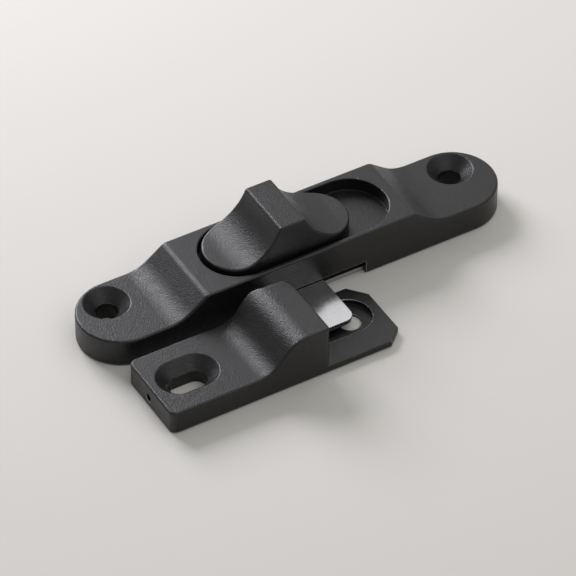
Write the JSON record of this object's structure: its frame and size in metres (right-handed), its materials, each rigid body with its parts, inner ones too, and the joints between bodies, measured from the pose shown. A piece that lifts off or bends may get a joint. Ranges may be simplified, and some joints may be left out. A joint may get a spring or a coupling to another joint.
{
  "type": "sliding window lock",
  "caption": "Sliding window lock: a screw-on case whose thumb slider moves a flat steel hook bolt in and out of a low, humped keeper.",
  "frame": {"origin": "midway between the case's two screw holes, on the mounting face", "axes": "+X along the case, the way the slider travels to unlock; +Z away from the mounting face; the keeper lies on the -Y side"},
  "size_m": [0.1016, 0.0418, 0.0201],
  "materials": {
    "black_coating": "satin black powder coat with a very fine grain, over a die-casting",
    "plated_steel": "dull zinc-plated sheet",
    "screw_steel": "plated",
    "bolt_steel": "smooth bright stamped plate",
    "ball_steel": "polished",
    "spring_steel": "drawn wire",
    "black_steel": "black oxide"
  },
  "bodies": {
    "base": {"case": "black_coating", "back_plate": "plated_steel", "back_plate_screw_1": "screw_steel", "back_plate_screw_2": "screw_steel", "back_plate_screw_3": "screw_steel", "back_plate_screw_4": "screw_steel", "keeper": "black_coating", "keeper_set_screw": "black_steel"},
    "carriage": {"thumb_slider": "black_coating", "hook_bolt": "bolt_steel", "bolt_screw_1": "screw_steel", "bolt_screw_2": "screw_steel", "detent_ball_1": "ball_steel", "detent_ball_2": "ball_steel", "detent_spring_1": "spring_steel", "detent_spring_2": "spring_steel"}
  },
  "joints": [
    {"name": "thumb_slide", "type": "slide", "parent": "base", "child": "carriage", "axis": [1, 0, 0], "range_m": [0, 0.009]}
  ]
}
